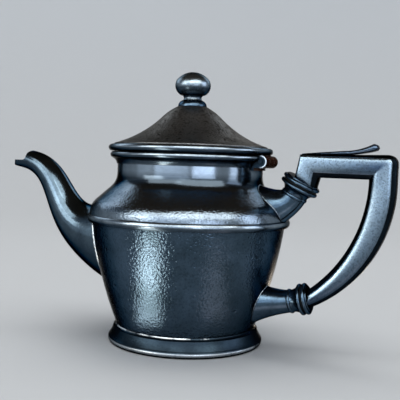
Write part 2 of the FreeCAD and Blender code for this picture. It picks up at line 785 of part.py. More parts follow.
washer_low = "%s - washer_thickness" % crown_under
nut_low = "%s - nut_tall" % washer_low
stud_low = "%s - stud_tail" % nut_low
stud_length = "%s - (%s)" % (stud_top, stud_low)
keep(rod("finial_stud", "stud_radius", stud_length, "0", "0", stud_low), "finial_stud")
keep(turned("finial_washer", [
    ("stud_radius + thread_gap", washer_low),
    ("washer_radius", washer_low),
    ("washer_radius", crown_under),
    ("stud_radius + thread_gap", crown_under),
]), "finial_washer")
nut_blank = doc.addObject("Part::Prism", "nut_blank")
nut_blank.Polygon = 6
bind(nut_blank, Circumradius="nut_circumradius", Height="nut_tall")
place(nut_blank, "0", "0", nut_low)
nut_bore = rod("nut_bore", "stud_radius + thread_gap", "nut_tall * 3", "0", "0", "%s - nut_tall" % nut_low)
keep(cut("finial_nut", nut_blank, [nut_bore]), "finial_nut")

doc.recompute()

# Check and write every piece

for thing in doc.Objects:
    if "Invalid" in thing.State or "Error" in thing.State:
        raise RuntimeError("%s did not build: %s" % (thing.Name, thing.State))

os.makedirs("parts", exist_ok=True)
for node in nodes:
    shape = node.Shape
    if shape.isNull() or not shape.isValid() or len(shape.Solids) != 1:
        raise RuntimeError("%s is not one sound solid" % node.Label)
    shape.exportStep("parts/%s.step" % node.Label)
    print("%-18s %9.1f mm3" % (node.Label, shape.Volume))
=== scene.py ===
"""Silver teapot: finishes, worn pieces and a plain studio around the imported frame. Metres throughout."""

import math

import bmesh
import bpy
from mathutils import Matrix, Vector
from mathutils.bvhtree import BVHTree


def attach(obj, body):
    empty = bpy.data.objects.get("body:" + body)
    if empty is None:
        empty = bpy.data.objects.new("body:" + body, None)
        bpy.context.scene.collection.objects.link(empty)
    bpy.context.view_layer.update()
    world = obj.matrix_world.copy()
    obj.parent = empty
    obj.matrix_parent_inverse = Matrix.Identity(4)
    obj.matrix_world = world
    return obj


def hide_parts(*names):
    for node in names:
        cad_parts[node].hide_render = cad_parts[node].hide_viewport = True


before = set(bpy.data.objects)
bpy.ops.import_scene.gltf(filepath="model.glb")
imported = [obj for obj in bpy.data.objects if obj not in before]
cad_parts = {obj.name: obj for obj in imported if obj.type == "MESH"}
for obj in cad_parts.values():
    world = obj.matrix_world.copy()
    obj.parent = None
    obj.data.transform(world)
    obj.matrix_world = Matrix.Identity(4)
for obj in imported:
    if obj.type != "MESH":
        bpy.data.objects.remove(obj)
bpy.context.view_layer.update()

MM = 0.001

# Camera, fitted to the photograph: the handle's side is turned towards it
VIEW_YAW = math.radians(24.0)
CAMERA_DISTANCE = 364.97 * MM
CAMERA_HEIGHT = 92.92 * MM
CAMERA_PAN = 0.0152
CAMERA_PITCH = -0.0533
CAMERA_ROLL = 0.0336
CAMERA_LENS = 63.0
CAMERA_SENSOR = 36.0
CAMERA_CLIP = 10 * MM


def linear(colour):
    """An sRGB hex colour as linear RGBA."""
    channels = [int(colour[place:place + 2], 16) / 255 for place in (1, 3, 5)]
    bent = [c / 12.92 if c <= 0.04045 else ((c + 0.055) / 1.055) ** 2.4 for c in channels]
    return (*bent, 1.0)


def add(tree, kind, inputs=None, **settings):
    """Add a node with its settings, and link or set its inputs."""
    node = tree.nodes.new(kind)
    for name, setting in settings.items():
        setattr(node, name, setting)
    for socket, source in (inputs or {}).items():
        if isinstance(source, bpy.types.NodeSocket):
            tree.links.new(source, node.inputs[socket])
        else:
            node.inputs[socket].default_value = source
    return node


def per_mm(size):
    """The texture scale whose features are this many millimetres across."""
    return 1 / (size * MM)


# Silver plate: one maker for the finishes, which differ in polish, grain and tarnish

# Levels of a noise, of openness or of distance in a cell, between which each mark fades in or out
CLOUDED = (0.35, 0.68)
ROUGHENED = (0.3, 0.7)
HOLLOWED = (0.30, 0.50)
HIDDEN = (0.30, 0.85)
PIT_RIM = (0.03, 0.10)
# Sizes in millimetres
PIT_SPACING = 11.0
EDGE_SOFTNESS = 0.3
BURNISH_RISE = 4.0
# The share of the skin that burnishing leaves
BURNISH_LEFT = 0.1
# A metal's tone at a grazing angle, kept dark as tarnish keeps it
GRAZING_TONE = "#77736f"


def silver_plate(name, bright, dull, dark, polish, worn, grain, depth, cloud=14.0, crevice=5.0, pit=0.0,
                 hollow=0.22, smooth_from=None, wear_and_light=None):
    """Silver plate on nickel silver.

    bright and dull are the plate's clear and clouded tones, and dark the tone of hollows and of painted shade
    in crevices.
    polish and worn are the roughness of clear and of clouded metal. In millimetres, grain is the skin's
    size and depth its height, cloud the size of tarnish clouds, crevice how far the painted shade reaches
    out of corners, pit the pits' depth, and smooth_from the height above which the skin is burnished smooth.
    hollow is how far the skin's hollows go dark. wear_and_light adds a piece's own marks, worn ones and
    painted light and shade, to the plate's tone.
    """
    material = bpy.data.materials.new(name)
    material.use_nodes = True
    tree = material.node_tree
    tree.nodes.clear()
    spot = add(tree, "ShaderNodeTexCoord").outputs["Object"]
    clouds = add(tree, "ShaderNodeTexNoise", {"Vector": spot, "Scale": per_mm(cloud), "Detail": 4.0,
                                              "Roughness": 0.6, "Distortion": 0.4}).outputs["Fac"]
    mask = add(tree, "ShaderNodeMapRange", {"Value": clouds, "From Min": CLOUDED[0], "From Max": CLOUDED[1]})
    plate = add(tree, "ShaderNodeMix", {"Factor": mask.outputs["Result"], "A": linear(bright),
                                        "B": linear(dull)}, data_type="RGBA").outputs["Result"]
    # A piece's own marks, painted light and shade among them, are mixed into the plate's tone
    if wear_and_light:
        plate = wear_and_light(tree, spot, plate)
    pebbles = add(tree, "ShaderNodeTexNoise", {"Vector": spot, "Scale": per_mm(grain), "Detail": 2.0,
                                               "Roughness": 0.5}).outputs["Fac"]
    flecks = add(tree, "ShaderNodeMapRange", {"Value": pebbles, "From Min": HOLLOWED[0],
                                              "From Max": HOLLOWED[1], "To Min": hollow,
                                              "To Max": 0.0}).outputs["Result"]
    edge = add(tree, "ShaderNodeBevel", {"Radius": EDGE_SOFTNESS * MM}, samples=4)
    skin = add(tree, "ShaderNodeBump", {"Height": pebbles, "Distance": depth * MM,
                                        "Normal": edge.outputs["Normal"]})
    if smooth_from is not None:
        height = add(tree, "ShaderNodeSeparateXYZ", {"Vector": spot}).outputs["Z"]
        burnish = add(tree, "ShaderNodeMapRange", {"Value": height, "From Min": smooth_from * MM,
                                                   "From Max": (smooth_from + BURNISH_RISE) * MM,
                                                   "To Min": 1.0, "To Max": BURNISH_LEFT}).outputs["Result"]
        flecks = add(tree, "ShaderNodeMath", {0: flecks, 1: burnish}, operation="MULTIPLY").outputs["Value"]
        tree.links.new(burnish, skin.inputs["Strength"])
    normal = skin.outputs["Normal"]
    if pit:
        cell = add(tree, "ShaderNodeTexVoronoi", {"Vector": spot, "Scale": per_mm(PIT_SPACING)})
        hole = add(tree, "ShaderNodeMapRange", {"Value": cell.outputs["Distance"], "From Min": PIT_RIM[0],
                                                "From Max": PIT_RIM[1]})
        normal = add(tree, "ShaderNodeBump", {"Height": hole.outputs["Result"], "Distance": pit * MM,
                                              "Normal": normal}).outputs["Normal"]
    # Painted shade: the colour goes dark in corners, where ambient occlusion finds other surfaces close by
    openness = add(tree, "ShaderNodeAmbientOcclusion", {"Distance": crevice * MM}, samples=6)
    shade = add(tree, "ShaderNodeMapRange", {"Value": openness.outputs["AO"], "From Min": HIDDEN[0],
                                             "From Max": HIDDEN[1], "To Min": 1.0, "To Max": 0.0})
    flecks_and_shade = add(tree, "ShaderNodeMath", {0: flecks, 1: shade.outputs["Result"]}, operation="MAXIMUM")
    colour = add(tree, "ShaderNodeMix", {"Factor": flecks_and_shade.outputs["Value"], "A": plate, "B": linear(dark)},
                 data_type="RGBA")
    rough = add(tree, "ShaderNodeMapRange", {"Value": clouds, "From Min": ROUGHENED[0],
                                             "From Max": ROUGHENED[1], "To Min": polish, "To Max": worn})
    shader = add(tree, "ShaderNodeBsdfPrincipled", {
        "Base Color": colour.outputs["Result"],
        "Metallic": 1.0,
        "Specular Tint": linear(GRAZING_TONE),
        "Roughness": rough.outputs["Result"],
        "Normal": normal,
    })
    add(tree, "ShaderNodeOutputMaterial", {"Surface": shader.outputs["BSDF"]})
    return material


# Worn marks and painted light and shade on single pieces, with places in millimetres

# The hinge's axis, how far along it its flat ends start, the knuckles' radius, how far in from that the
# painted highlight on the rim starts and is full, and how far from the axis towards the handle its bright
# half does
HINGE_AXIS = Vector((41.2, 0.0, 94.3))
KNUCKLE_END = 9.3
KNUCKLE_RADIUS = 3.1
KNUCKLE_RIM = (0.7, 0.3)
KNUCKLE_HALF = (-0.6, 1.2)


def knuckle_end_glints(tree, spot, plate):
    """The hinge's ends: dark flat faces with a painted highlight on the outer half of their rim."""
    place = add(tree, "ShaderNodeSeparateXYZ", {"Vector": spot}).outputs
    out = add(tree, "ShaderNodeMath", {0: place["Y"]}, operation="ABSOLUTE").outputs["Value"]
    end = add(tree, "ShaderNodeMath", {0: out, 1: KNUCKLE_END * MM},
              operation="GREATER_THAN").outputs["Value"]
    across = add(tree, "ShaderNodeCombineXYZ", {"X": place["X"], "Z": place["Z"]}).outputs["Vector"]
    reach = add(tree, "ShaderNodeVectorMath", {0: across, 1: HINGE_AXIS * MM},
                operation="DISTANCE").outputs["Value"]
    rim_from, rim_to = [(KNUCKLE_RADIUS - inset) * MM for inset in KNUCKLE_RIM]
    rim = add(tree, "ShaderNodeMapRange", {"Value": reach, "From Min": rim_from, "From Max": rim_to})
    half_from, half_to = [(HINGE_AXIS.x + offset) * MM for offset in KNUCKLE_HALF]
    half = add(tree, "ShaderNodeMapRange", {"Value": place["X"], "From Min": half_from, "From Max": half_to})
    painted_bright = add(tree, "ShaderNodeMath", {0: rim.outputs["Result"], 1: half.outputs["Result"]},
                 operation="MULTIPLY").outputs["Value"]
    # Painted highlight: a pale crescent on the outer half of each dark end's rim
    face = add(tree, "ShaderNodeMix", {"Factor": painted_bright, "A": linear("#16222c"), "B": linear("#b9c9d6")},
               data_type="RGBA").outputs["Result"]
    return add(tree, "ShaderNodeMix", {"Factor": end, "A": plate, "B": face},
               data_type="RGBA").outputs["Result"]


# Each of the foot's lines of painted highlight: height, reach, the noise level above which it is painted
# bright, and how far it is painted brighter on the lit side of the pot than on the other. Then the noise
# levels beside that one where the painted highlight starts and is full, the noise's size, the foot's radius
# and the lit side.
FOOT_LINES = ((1.6, 1.0, 0.42, 0.10), (9.0, 0.5, 0.66, 0.22))
FOOT_LINE_FADE = (-0.06, 0.08)
FOOT_LINE_BREAK = 9.0
FOOT_RADIUS = 39.0
LIT_SIDE = Vector((-0.44, -0.90, 0.0))


def foot_highlight_lines(tree, spot, plate):
    """Painted highlights on the foot's bead and the edge of its step, in broken lines."""
    height = add(tree, "ShaderNodeSeparateXYZ", {"Vector": spot}).outputs["Z"]
    breaks = add(tree, "ShaderNodeTexNoise", {"Vector": spot, "Scale": per_mm(FOOT_LINE_BREAK),
                                              "Detail": 3.0}).outputs["Fac"]
    side = add(tree, "ShaderNodeVectorMath", {0: spot, 1: LIT_SIDE / (FOOT_RADIUS * MM)},
               operation="DOT_PRODUCT").outputs["Value"]
    for level, reach, painted_bright, lean in FOOT_LINES:
        leant = add(tree, "ShaderNodeMath", {0: side, 1: lean, 2: breaks}, operation="MULTIPLY_ADD")
        kept = add(tree, "ShaderNodeMapRange", {"Value": leant.outputs["Value"],
                                                "From Min": painted_bright + FOOT_LINE_FADE[0],
                                                "From Max": painted_bright + FOOT_LINE_FADE[1]}).outputs["Result"]
        off = add(tree, "ShaderNodeMath", {0: height, 1: level * MM}, operation="SUBTRACT").outputs["Value"]
        away = add(tree, "ShaderNodeMath", {0: off}, operation="ABSOLUTE").outputs["Value"]
        near = add(tree, "ShaderNodeMapRange", {"Value": away, "From Min": reach * MM,
                                                "From Max": reach / 2 * MM})
        line = add(tree, "ShaderNodeMath", {0: near.outputs["Result"], 1: kept}, operation="MULTIPLY")
        # Painted highlight: each line is mixed towards a pale blue-grey, broken by noise
        plate = add(tree, "ShaderNodeMix", {"Factor": line.outputs["Value"], "A": plate,
                                            "B": linear("#c3ced6")}, data_type="RGBA").outputs["Result"]
    return plate


# The neck's hollow: its height, how far its painted shade reaches, within what it is full, and how far it
# covers
NECK_HOLLOW = 83.5
NECK_HOLLOW_REACH = 4.5
NECK_HOLLOW_CORE = 1.0
NECK_HOLLOW_SHARE = 0.85


def neck_hollow_shade(tree, spot, plate):
    """Painted shade where the neck flares into the shoulder: a dark band that dims the hollow's bright
    reflection.
    """
    height = add(tree, "ShaderNodeSeparateXYZ", {"Vector": spot}).outputs["Z"]
    off = add(tree, "ShaderNodeMath", {0: height, 1: NECK_HOLLOW * MM}, operation="SUBTRACT").outputs["Value"]
    away = add(tree, "ShaderNodeMath", {0: off}, operation="ABSOLUTE").outputs["Value"]
    near = add(tree, "ShaderNodeMapRange", {"Value": away, "From Min": NECK_HOLLOW_REACH * MM,
                                            "From Max": NECK_HOLLOW_CORE * MM,
                                            "To Max": NECK_HOLLOW_SHARE}).outputs["Result"]
    # Painted shade: a band round the neck's hollow mixed towards a dark grey
    return add(tree, "ShaderNodeMix", {"Factor": near, "A": plate, "B": linear("#2a333b")},
               data_type="RGBA").outputs["Result"]


# How far a surface looks up where the painted shade under beads and knobs starts and is full, and how far it
# covers
UNDERSIDE = (0.15, -0.3)
UNDERSIDE_SHARE = 0.9


def underside_shade(tree, spot, plate):
    """Painted shade under beads and knobs: surfaces that face down are darkened."""
    way = add(tree, "ShaderNodeTexCoord").outputs["Normal"]
    rise = add(tree, "ShaderNodeSeparateXYZ", {"Vector": way}).outputs["Z"]
    under = add(tree, "ShaderNodeMapRange", {"Value": rise, "From Min": UNDERSIDE[0],
                                             "From Max": UNDERSIDE[1],
                                             "To Max": UNDERSIDE_SHARE}).outputs["Result"]
    # Painted shade: faces that look down are mixed towards a dark blue
    return add(tree, "ShaderNodeMix", {"Factor": under, "A": plate, "B": linear("#2a3845")},
               data_type="RGBA").outputs["Result"]


def flats_rub_and_sheen(tree, spot, plate):
    """The handle's flats: worn clear and painted bright where the mesh says so, and dull between."""
    rub_and_sheen = add(tree, "ShaderNodeAttribute", attribute_name="rub_and_sheen").outputs["Fac"]
    # Worn metal and painted highlight: the flats are mixed towards a pale blue as far as the mesh's level
    # says
    return add(tree, "ShaderNodeMix", {"Factor": rub_and_sheen, "A": plate, "B": linear("#a8c0d0")},
               data_type="RGBA").outputs["Result"]


def insulator_fibre():
    """Pressed fibre: a dark dull line between bright rings, with a fine fleck."""
    material = bpy.data.materials.new("pressed_dark_fibre")
    material.use_nodes = True
    tree = material.node_tree
    tree.nodes.clear()
    spot = add(tree, "ShaderNodeTexCoord").outputs["Object"]
    fleck = add(tree, "ShaderNodeTexNoise", {"Vector": spot, "Scale": per_mm(0.8), "Detail": 3.0})
    tone = add(tree, "ShaderNodeMix", {"Factor": fleck.outputs["Fac"], "A": linear("#06090c"),
                                       "B": linear("#0e1317")}, data_type="RGBA")
    shader = add(tree, "ShaderNodeBsdfPrincipled", {"Base Color": tone.outputs["Result"], "Roughness": 0.7,
                                                    "Specular IOR Level": 0.15})
    add(tree, "ShaderNodeOutputMaterial", {"Surface": shader.outputs["BSDF"]})
    return material


# The finishes. In all of them the grain of worn plate, a few hundredths of a millimetre on a real pot, is
# drawn about a millimetre across, so that it shows.

# Hammered plate, worn soft: pebbles and a few pits break its bright column into flecks
pebbled = silver_plate("pebbled_silver_plate", bright="#47596a", dull="#344450", dark="#0d1319",
                       polish=0.09, worn=0.14, grain=1.1, depth=0.30, pit=0.2, hollow=0.3, cloud=20.0)
# Plate burnished on the neck, so that it mirrors windows, and grainy on the shoulder, where it sparkles
shouldered = silver_plate("burnished_silver_plate", bright="#7b8a97", dull="#66737f", dark="#12161b",
                          polish=0.13, worn=0.19, grain=1.05, depth=0.15, hollow=0.36, smooth_from=78.0,
                          wear_and_light=neck_hollow_shade)
# Plate dulled by handling: a dark even foot with two broken lines of painted highlight
foot = silver_plate("dulled_silver_plate", bright="#28353f", dull="#1c262f", dark="#0b0f12",
                    polish=0.26, worn=0.36, grain=1.0, depth=0.03, wear_and_light=foot_highlight_lines)
# Plate rubbed by the thumb: a soft grey-blue sheen without clear reflections
leaf_plate = silver_plate("thumb_silver_plate", bright="#64778a", dull="#45566a", dark="#14181c",
                          polish=0.20, worn=0.32, grain=0.7, depth=0.03, crevice=0.6)
# Plate polished on the mouldings: long bright lines above lower sides darkened by painted shade
polished = silver_plate("polished_silver_plate", bright="#93a1ac", dull="#5f6c77", dark="#0f1419",
                        polish=0.17, worn=0.27, grain=1.0, depth=0.02, wear_and_light=underside_shade)
# Plate kept clear by fingers: one soft bright patch on the knob, and a lower half darkened by painted shade
knob_plate = silver_plate("finial_silver_plate", bright="#8c9ca7", dull="#5f6d78", dark="#0c1013",
                          polish=0.24, worn=0.32, grain=1.0, depth=0.03, wear_and_light=underside_shade)
# Plate over drawn and hammered metal: a long wavy highlight along the spout, and flanks darkened by painted
# shade
drawn_spout = silver_plate("hammered_silver_plate", bright="#5a6c79", dull="#3f4e5a", dark="#0d1114",
                           polish=0.10, worn=0.16, grain=1.6, depth=0.03, wear_and_light=underside_shade)
# Plate rubbed to a satin: sandy blue flats, with painted highlights clearest along the edges
satin = silver_plate("rubbed_silver_plate", bright="#384a5e", dull="#253549", dark="#121820",
                     polish=0.20, worn=0.32, grain=0.7, depth=0.06, cloud=7.0, hollow=0.45,
                     wear_and_light=flats_rub_and_sheen)
# Plate tarnished brown-grey: a dark rough cone with a blurred sheen
cone = silver_plate("tarnished_silver_plate", bright="#8d9091", dull="#6f7172", dark="#1a1b1b",
                    polish=0.28, worn=0.40, grain=1.2, depth=0.30, hollow=0.6)
# Plate on soft-edged castings: dark blue with narrow highlights, and painted shade near black in the grooves
casting = silver_plate("cast_silver_plate", bright="#4e6375", dull="#394a59", dark="#161d24",
                       polish=0.14, worn=0.26, grain=1.1, depth=0.03)
# Plate painted brown, a painted reflection of warm brown surroundings: a brown hinge with dark ends
hinge = silver_plate("brown_reflection_plate", bright="#6f5f59", dull="#51443f", dark="#0d0c0b",
                     polish=0.22, worn=0.34, grain=1.1, depth=0.03, crevice=2.0, wear_and_light=knuckle_end_glints)
# Plate near black round the hinge's pin: a dark dot in each end of the hinge
pin_plate = silver_plate("pin_silver_plate", bright="#1c2832", dull="#141d25", dark="#090c0e",
                         polish=0.18, worn=0.28, grain=1.1, depth=0.03, crevice=2.0)
# Plate painted near black on the handle's bevels, so that the flats stand out
bevelled = silver_plate("dark_silver_plate", bright="#161e25", dull="#0e1419", dark="#06080a",
                        polish=0.20, worn=0.32, grain=0.9, depth=0.03)
# Silver solder: a pale lumpy line
solder = silver_plate("silver_solder", bright="#c6d0d7", dull="#94a0aa", dark="#1a1e22",
                      polish=0.26, worn=0.40, grain=0.9, depth=0.10, crevice=0.15)
fibre = insulator_fibre()

FINISHES = {
    pebbled: ("lower_body",),
    shouldered: ("upper_body",),
    drawn_spout: ("spout",),
    foot: ("foot_ring",),
    polished: ("belt_moulding", "mouth_moulding", "lid_rim_moulding", "lid_collar",
               "finial_stud", "finial_washer", "finial_nut"),
    knob_plate: ("finial_knob",),
    pin_plate: ("hinge_pin",),
    cone: ("lid_dome",),
    casting: ("upper_socket", "lower_socket", "upper_ferrule", "lower_ferrule", "upper_handle_pin",
              "lower_handle_pin", "finial_base"),
    hinge: ("hinge_body_leaf", "hinge_lid_leaf"),
    fibre: ("upper_insulator", "lower_insulator"),
}
for finish, names in FINISHES.items():
    for name in names:
        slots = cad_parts[name].data.materials
        slots.clear()
        slots.append(finish)

# How near, in millimetres, the doubled points at the top of the knob's mesh are
POLE_MERGE = 0.002
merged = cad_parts["finial_knob"].modifiers.new("merged_pole", "WELD")
merged.merge_threshold = POLE_MERGE * MM


# Pieces: what the handle, the leaf and the seams share

# Points closer than this, in millimetres, count as one
SAME_SPOT = 0.01


def piece_of(name, mesh, body):
    """A finished mesh as a piece that rides on a body."""
    piece = bpy.data.objects.new(name, mesh)
    bpy.context.scene.collection.objects.link(piece)
    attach(piece, body)
    return piece


def sound_mesh(name, points, faces, finishes=None, point_rub_and_sheen=None):
    """A smooth closed mesh with its doubles merged and its faces outwards.

    finishes holds a material slot for each face, and point_rub_and_sheen how far each point is worn and
    painted bright.
    """
    mesh = bpy.data.meshes.new(name)
    mesh.from_pydata(points, [], faces)
    if finishes:
        mesh.polygons.foreach_set("material_index", finishes)
    if point_rub_and_sheen:
        mesh.attributes.new("rub_and_sheen", "FLOAT", "POINT").data.foreach_set("value", point_rub_and_sheen)
    work = bmesh.new()
    work.from_mesh(mesh)
    bmesh.ops.remove_doubles(work, verts=work.verts, dist=SAME_SPOT * MM)
    bmesh.ops.recalc_face_normals(work, faces=work.faces)
    work.to_mesh(mesh)
    work.free()
    mesh.validate()
    mesh.shade_smooth()
    return mesh


def along_leg(start, stop, radius, steps):
    """Points from start to stop on a line, or on an arc that turns left, or right below 0."""
    chord = stop - start
    if not radius:
        return [start + chord * step / steps for step in range(1, steps + 1)]
    reach = math.sqrt(radius ** 2 - chord.length_squared / 4)
    centre = (start + stop) / 2 + Vector((-chord.y, chord.x)).normalized() * math.copysign(reach, radius)
    sweep = math.copysign(2 * math.asin(chord.length / 2 / abs(radius)), radius)
    turns = [sweep * step / steps for step in range(1, steps + 1)]
    return [centre + Matrix.Rotation(turn, 2) @ (start - centre) for turn in turns]


# Handle: a bar with broad worn flats, black bevels, and edges worn and painted bright

HANDLE_HALF = 6.0
BEVEL_DEPTH = 2.6
FLAT_CROWN = 0.2
FLAT_STRIPS = 8
EDGE_ROUND = 1.0
EDGE_STEPS = 4
SIDE_ROUND = 0.45
SIDE_ANGLE = math.radians(25)

# The bar's outer and inner line from the upper ferrule to the lower one, leg by leg: where each line ends,
# its arc's radius (right turns below 0), the steps, the outer and inner bevel at the leg's end, and how far
# the flat is worn and painted bright there, from 0 to 1, at its outer edge, middle and inner edge
BAR_OUTER_START = (56.979, 87.916)
BAR_INNER_START = (66.868, 82.658)
BAR_BEVELS_START = (0.8, 2.4)
BAR_RUB_AND_SHEEN_START = (0.5, 0.35, 0.3)
BAR_LEGS = (
    ((59.15, 98.5), 0, (68.25, 87.6), 0, 3, (0.8, 3.2), (0.7, 0.4, 0.3)),
    ((78.0, 98.872), 0, (78.0, 87.6), 0, 6, (1.5, 3.1), (0.6, 0.25, 0.1)),
    ((100.517, 99.316), 0, (92.5, 87.6), 0, 8, (2.3, 3.0), (0.5, 0.0, 0.1)),
    ((104.8, 95.116), -4.2, (92.5, 87.6), 0, 8, (2.6, 2.6), (0.5, 0.3, 0.3)),
    ((104.8, 84.6), 0, (91.96, 79.0), -68.48, 4, (2.7, 2.4), (0.35, 0.45, 1.0)),
    ((66.884, 24.473), -66.63, (64.852, 32.623), -68.48, 30, (2.2, 3.2), (0.0, 0.0, 1.0)),
)
SATIN, BEVELLED = range(2)


def set_in(line, widths, side):
    """The line moved sideways by a width at each point: to its left, or to its right with side -1."""
    moved = []
    for spot, width in zip(line, widths):
        place = line.index(spot)
        before = [other for other in line[:place] if (other - spot).length > SAME_SPOT][-1:]
        after = [other for other in line[place:] if (other - spot).length > SAME_SPOT][:1]
        runs = [(spot - other).normalized() for other in before]
        runs += [(other - spot).normalized() for other in after]
        normals = [Vector((-run.y, run.x)) * side for run in runs]
        middle = sum(normals, Vector((0, 0))).normalized()
        moved.append(spot + middle * width / middle.dot(normals[0]))
    return moved


def rounded(before, corner, after):
    """The corner of a section eased by a curve that starts and ends a little way along its sides."""
    start = corner + (before - corner).normalized() * EDGE_ROUND
    end = corner + (after - corner).normalized() * EDGE_ROUND
    shares = [step / EDGE_STEPS for step in range(EDGE_STEPS + 1)]
    return [start * (1 - t) ** 2 + corner * 2 * t * (1 - t) + end * t ** 2 for t in shares]


def bar_lines():
    """The bar's outer and inner line, with the pair of bevels and the three levels of worn and painted
    brightness at each point.
    """
    outer = [Vector(BAR_OUTER_START)]
    inner = [Vector(BAR_INNER_START)]
    bevels = [Vector(BAR_BEVELS_START)]
    rub_and_sheen_rows = [Vector(BAR_RUB_AND_SHEEN_START)]
    for outer_end, outer_radius, inner_end, inner_radius, steps, bevel_ends, rub_and_sheen_ends in BAR_LEGS:
        outer += along_leg(outer[-1], Vector(outer_end), outer_radius, steps)
        inner += along_leg(inner[-1], Vector(inner_end), inner_radius, steps)
        bevels += [bevels[-1].lerp(Vector(bevel_ends), step / steps) for step in range(1, steps + 1)]
        rub_and_sheen_rows += [rub_and_sheen_rows[-1].lerp(Vector(rub_and_sheen_ends), step / steps) for step in range(1, steps + 1)]
    return outer, inner, bevels, rub_and_sheen_rows


def handle_mesh():
    """Rings across the bar at paired points of its two lines, with the finish of each strip between them."""
    outer, inner, bevels, rub_and_sheen_rows = bar_lines()
    flat_outer = set_in(outer, [pair.x for pair in bevels], -1)
    flat_inner = set_in(inner, [pair.y for pair in bevels], 1)
    side = HANDLE_HALF - BEVEL_DEPTH
    points = []
    point_rub_and_sheen = []
    for place in range(len(outer)):
        lip_out = Vector((outer[place].x, side, outer[place].y))
        lip_in = Vector((inner[place].x, side, inner[place].y))
        edge_out = Vector((flat_outer[place].x, HANDLE_HALF, flat_outer[place].y))
        edge_in = Vector((flat_inner[place].x, HANDLE_HALF, flat_inner[place].y))
        round_out = rounded(lip_out, edge_out, edge_in)
        round_in = rounded(edge_out, edge_in, lip_in)
        flat = [round_out[-1].lerp(round_in[0], strip / FLAT_STRIPS) for strip in range(1, FLAT_STRIPS)]
        half = [lip_out, *round_out, *flat, *round_in, lip_in]
        for spot in half:
            share = (spot - edge_out).dot(edge_in - edge_out) / (edge_in - edge_out).length_squared
            middle = 1 - min(abs(2 * share - 1), 1)
            crown = FLAT_CROWN * (1 - middle) ** 2 if spot.y > HANDLE_HALF - SAME_SPOT else FLAT_CROWN
            spot.y -= crown * (spot.y - side) / BEVEL_DEPTH
            edge = rub_and_sheen_rows[place].x if share < 0.5 else rub_and_sheen_rows[place].z
            point_rub_and_sheen.append(edge + (rub_and_sheen_rows[place].y - edge) * math.sqrt(middle))
        point_rub_and_sheen += point_rub_and_sheen[:-len(half) - 1:-1]
        points += half + [Vector((spot.x, -spot.y, spot.z)) for spot in reversed(half)]
    count = 2 * len(half)
    strips = [BEVELLED] + [SATIN] * (FLAT_STRIPS + 2 * EDGE_STEPS) + [BEVELLED]
    strips = strips + [BEVELLED] + strips + [BEVELLED]
    faces = [tuple(range(count)), tuple(len(points) - 1 - index for index in range(count))]
    finishes = [BEVELLED, BEVELLED]
    for ring in range(len(outer) - 1):
        for index in range(count):
            after = (index + 1) % count
            faces.append((ring * count + index, ring * count + after, (ring + 1) * count + after,
                          (ring + 1) * count + index))
            finishes.append(strips[index])
    return sound_mesh("handle_bar", [spot * MM for spot in points], faces, finishes, point_rub_and_sheen)


handle = piece_of("worn_handle", handle_mesh(), "pot")
handle.data.materials.append(satin)
handle.data.materials.append(bevelled)
softened = handle.modifiers.new("softened_edges", "BEVEL")
softened.width = SIDE_ROUND * MM
softened.segments = 2
softened.limit_method = "ANGLE"
softened.angle_limit = SIDE_ANGLE
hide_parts("handle")


# Thumb rest: a thin leaf with rounded edges that lifts off the bar to a rolled tip

# The leaf's side view, leg by leg: where each leg ends, its arc's radius and its steps
LEAF_START = (59.6, 98.51)
LEAF_LEGS = (
    (80.2, 98.915, 0, 8),
    (95.0, 101.115, 60.0, 12),
    (93.947, 104.26, 1.75, 14),
    (80.2, 100.715, -30.0, 12),
    (59.6, 99.01, 0, 8),
    (59.6, 98.51, 0, 1),
)
LEAF_HALF = 5.0
LEAF_POINT = 1.6
LEAF_POINT_LENGTH = 14.0
LEAF_TIP = 96.75
LEAF_TIP_LENGTH = 5.5
LEAF_TIP_SHARE = 0.55
LEAF_ACROSS = 12
# How squarely the leaf's thickness ends at its sides, the share of it that is left there, and how near
# along the leaf points count as above and below each other
LEAF_SQUARENESS = 10
LEAF_EDGE = 0.25
LEAF_BESIDE = 0.9


def leaf_half(x):
    """Half the leaf's width: a narrow start that widens, and a rounded tip."""
    widen = min(max((x - LEAF_START[0]) / LEAF_POINT_LENGTH, 0), 1)
    half = LEAF_POINT + (LEAF_HALF - LEAF_POINT) * math.sin(widen * math.pi / 2)
    from_tip = min(max((LEAF_TIP - x) / LEAF_TIP_LENGTH, 0), 1)
    return half * (LEAF_TIP_SHARE + (1 - LEAF_TIP_SHARE) * math.sqrt(1 - (1 - from_tip) ** 2))


def leaf_mesh():
    """The leaf's side view repeated across its width, thinning to its two edges."""
    spots = []
    at = Vector(LEAF_START)
    for x, z, radius, steps in LEAF_LEGS:
        leg = along_leg(at, Vector((x, z)), radius, steps)
        spots += leg
        at = leg[-1]
    count = len(spots)
    points = []
    for step in range(LEAF_ACROSS + 1):
        across = -1 + 2 * step / LEAF_ACROSS
        full = max(math.sqrt(1 - abs(across) ** LEAF_SQUARENESS), LEAF_EDGE)
        for spot in spots:
            beside = [other.y for other in spots if abs(other.x - spot.x) < LEAF_BESIDE]
            middle = (min(beside) + max(beside)) / 2
            height = middle + (spot.y - middle) * full
            points.append((spot.x * MM, across * leaf_half(spot.x) * MM, height * MM))
    faces = [tuple(range(count)), tuple(len(points) - 1 - index for index in range(count))]
    for step in range(LEAF_ACROSS):
        for index in range(count):
            after = (index + 1) % count
            faces.append((step * count + index, step * count + after, (step + 1) * count + after,
                          (step + 1) * count + index))
    return sound_mesh("thumb_leaf", points, faces)


thumb = piece_of("thumb_leaf", leaf_mesh(), "pot")
thumb.data.materials.append(leaf_plate)
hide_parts("thumb_rest")


# Solder seams: a lumpy bead along each root where a hollow piece or a casting meets the pot

SPOUT_BEAD = 0.7
SPOUT_TOE = 2.8
SOCKET_BEAD = 0.4
SEAM_LUMP = 1.3
SEAM_LUMP_LENGTH = 1.8
SEAM_STEP = 0.35
SEAM_SIDES = 8
# How near, in millimetres, a piece's points touch the pot, and how near its doubled points are
TOUCHING = 0.03
DOUBLED = 0.001


